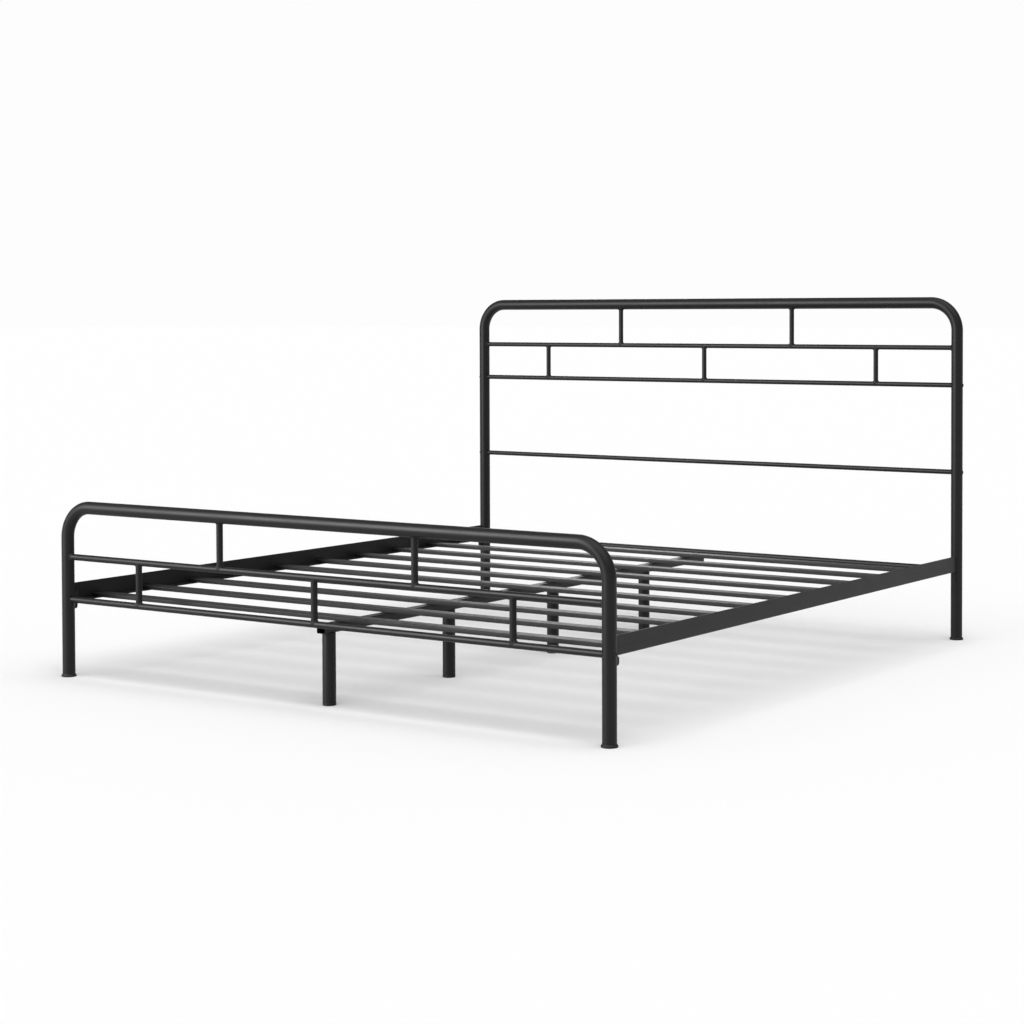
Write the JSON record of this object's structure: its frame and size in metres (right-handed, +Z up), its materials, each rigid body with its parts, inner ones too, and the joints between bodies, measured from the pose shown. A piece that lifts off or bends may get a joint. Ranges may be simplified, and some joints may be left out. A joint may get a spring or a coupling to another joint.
{
  "type": "metal bed frame",
  "caption": "Black bent-tube bed frame with staggered spindles, angle side rails, slats and centre legs, for a king mattress.",
  "frame": {"origin": "on the floor, at the centre of the frame in plan", "axes": "+X across the bed to the right as seen from its foot, +Y along the bed to the head end, +Z up"},
  "size_m": [1.9746, 2.1744, 1.136],
  "materials": {
    "powder_coat": "satin black powder coat with a fine orange-peel texture",
    "cap_plastic": "matte black moulded plastic",
    "black_steel": "black oxide steel, satin"
  },
  "bodies": {
    "root": {"centre_leg_1": "powder_coat", "centre_leg_2": "powder_coat", "centre_leg_3": "powder_coat", "centre_leg_4": "powder_coat", "centre_leg_glide_1": "cap_plastic", "centre_leg_glide_2": "cap_plastic", "centre_leg_glide_3": "cap_plastic", "centre_leg_glide_4": "cap_plastic", "centre_rail": "powder_coat", "centre_rail_foot_tongue": "powder_coat", "centre_rail_head_tongue": "powder_coat", "foot_left_foot_cap": "cap_plastic", "foot_left_rail_bolt": "black_steel", "foot_left_rail_bracket": "powder_coat", "foot_right_foot_cap": "cap_plastic", "foot_right_rail_bolt": "black_steel", "foot_right_rail_bracket": "powder_coat", "footboard_arch": "powder_coat", "footboard_lower_bar": "powder_coat", "footboard_lower_bar_bolt_left": "black_steel", "footboard_lower_bar_bolt_right": "black_steel", "footboard_lower_spindle_left": "powder_coat", "footboard_lower_spindle_middle": "powder_coat", "footboard_lower_spindle_right": "powder_coat", "footboard_upper_bar": "powder_coat", "footboard_upper_spindle_left": "powder_coat", "footboard_upper_spindle_right": "powder_coat", "head_left_foot_cap": "cap_plastic", "head_left_rail_bolt": "black_steel", "head_left_rail_bracket": "powder_coat", "head_right_foot_cap": "cap_plastic", "head_right_rail_bolt": "black_steel", "head_right_rail_bracket": "powder_coat", "headboard_arch": "powder_coat", "headboard_lower_bar": "powder_coat", "headboard_lower_spindle_left": "powder_coat", "headboard_lower_spindle_middle": "powder_coat", "headboard_lower_spindle_right": "powder_coat", "headboard_middle_bar": "powder_coat", "headboard_middle_bar_bolt_left": "black_steel", "headboard_middle_bar_bolt_right": "black_steel", "headboard_second_bar": "powder_coat", "headboard_second_bar_bolt_left": "black_steel", "headboard_second_bar_bolt_right": "black_steel", "headboard_upper_bar": "powder_coat", "headboard_upper_spindle_left": "powder_coat", "headboard_upper_spindle_right": "powder_coat", "left_side_rail": "powder_coat", "right_side_rail": "powder_coat", "slat_01": "powder_coat", "slat_02": "powder_coat", "slat_03": "powder_coat", "slat_04": "powder_coat", "slat_05": "powder_coat", "slat_06": "powder_coat", "slat_07": "powder_coat", "slat_08": "powder_coat", "slat_09": "powder_coat", "slat_10": "powder_coat"}
  },
  "joints": []
}
